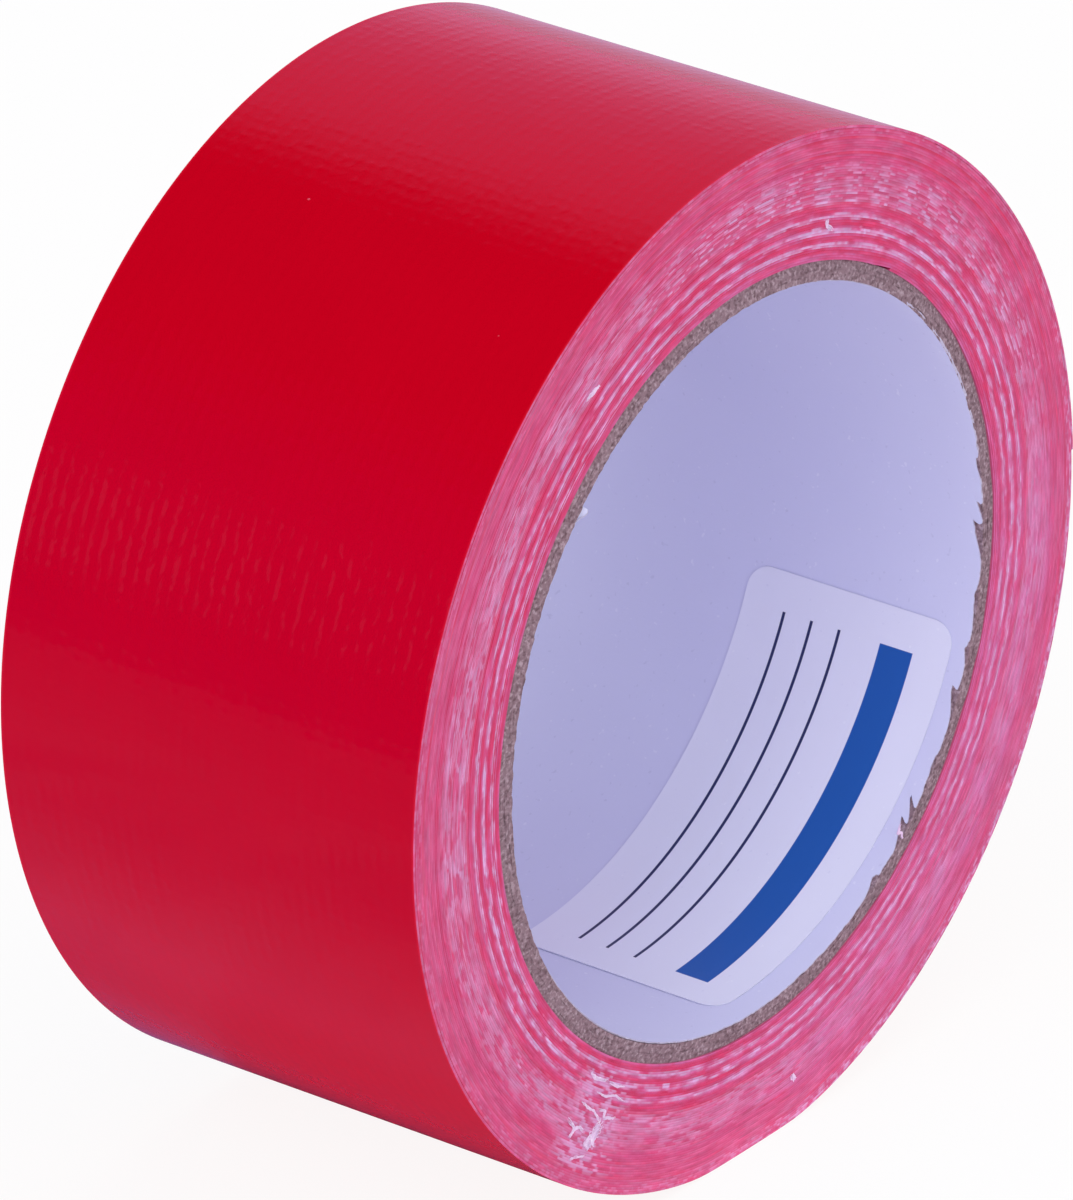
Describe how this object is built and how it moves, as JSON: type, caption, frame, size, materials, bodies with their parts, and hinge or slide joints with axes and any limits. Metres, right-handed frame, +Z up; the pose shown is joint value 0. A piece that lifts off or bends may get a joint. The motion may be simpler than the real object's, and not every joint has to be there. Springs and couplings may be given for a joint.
{
  "type": "duct tape roll",
  "caption": "Roll of cloth-backed duct tape wound on a paperboard core, standing on its rim, with a free end that lifts and curls away from the roll.",
  "frame": {"origin": "on the axis of the roll at mid width", "axes": "+Y along the axis of the roll, away from the face in view; +Z up, with the roll standing on its rim"},
  "size_m": [0.1069, 0.05, 0.1064],
  "materials": {
    "red_film": "glossy red polyethylene film, embossed by the cloth under it",
    "gummed_cloth": "gauze cloth soaked with tacky rubber adhesive",
    "grey_board": "raw grey chipboard with fibre flecks",
    "white_paper": "smooth matte white liner paper",
    "label_paper": "satin coated label paper, bare"
  },
  "bodies": {
    "roll": {"core_liner": "white_paper", "core_ply_1": "grey_board", "core_ply_2": "grey_board", "core_ply_3": "grey_board", "core_ply_4": "grey_board", "paper_label": "label_paper", "wound_film": "red_film", "wound_cloth": "gummed_cloth", "outer_turn_film": "red_film", "outer_turn_cloth": "gummed_cloth"},
    "tape_end_1": {"end_film_1": "red_film", "end_cloth_1": "gummed_cloth"},
    "tape_end_2": {"end_film_2": "red_film", "end_cloth_2": "gummed_cloth"},
    "tape_end_3": {"end_film_3": "red_film", "end_cloth_3": "gummed_cloth"},
    "tape_end_4": {"end_film_4": "red_film", "end_cloth_4": "gummed_cloth"},
    "tape_end_5": {"end_film_5": "red_film", "end_cloth_5": "gummed_cloth"},
    "tape_end_6": {"end_film_6": "red_film", "end_cloth_6": "gummed_cloth"}
  },
  "joints": [
    {"name": "end_lift", "type": "hinge", "parent": "roll", "child": "tape_end_1", "pos_m": [0.02921, 0, 0.04487], "axis": [0, -1, 0], "range_deg": [0, 20]},
    {"name": "end_bend_2", "type": "hinge", "parent": "tape_end_1", "child": "tape_end_2", "pos_m": [0.03582, 0, 0.03981], "axis": [0, -1, 0], "range_deg": [0, 20]},
    {"name": "end_bend_3", "type": "hinge", "parent": "tape_end_2", "child": "tape_end_3", "pos_m": [0.04156, 0, 0.03378], "axis": [0, -1, 0], "range_deg": [0, 20]},
    {"name": "end_bend_4", "type": "hinge", "parent": "tape_end_3", "child": "tape_end_4", "pos_m": [0.0463, 0, 0.02693], "axis": [0, -1, 0], "range_deg": [0, 20]},
    {"name": "end_bend_5", "type": "hinge", "parent": "tape_end_4", "child": "tape_end_5", "pos_m": [0.04992, 0, 0.01944], "axis": [0, -1, 0], "range_deg": [0, 20]},
    {"name": "end_bend_6", "type": "hinge", "parent": "tape_end_5", "child": "tape_end_6", "pos_m": [0.05233, 0, 0.01147], "axis": [0, -1, 0], "range_deg": [0, 20]}
  ],
  "couplings": [
    {"joint": "end_bend_2", "follows": "end_lift", "ratio": 1},
    {"joint": "end_bend_3", "follows": "end_lift", "ratio": 1},
    {"joint": "end_bend_4", "follows": "end_lift", "ratio": 1},
    {"joint": "end_bend_5", "follows": "end_lift", "ratio": 1},
    {"joint": "end_bend_6", "follows": "end_lift", "ratio": 1}
  ]
}
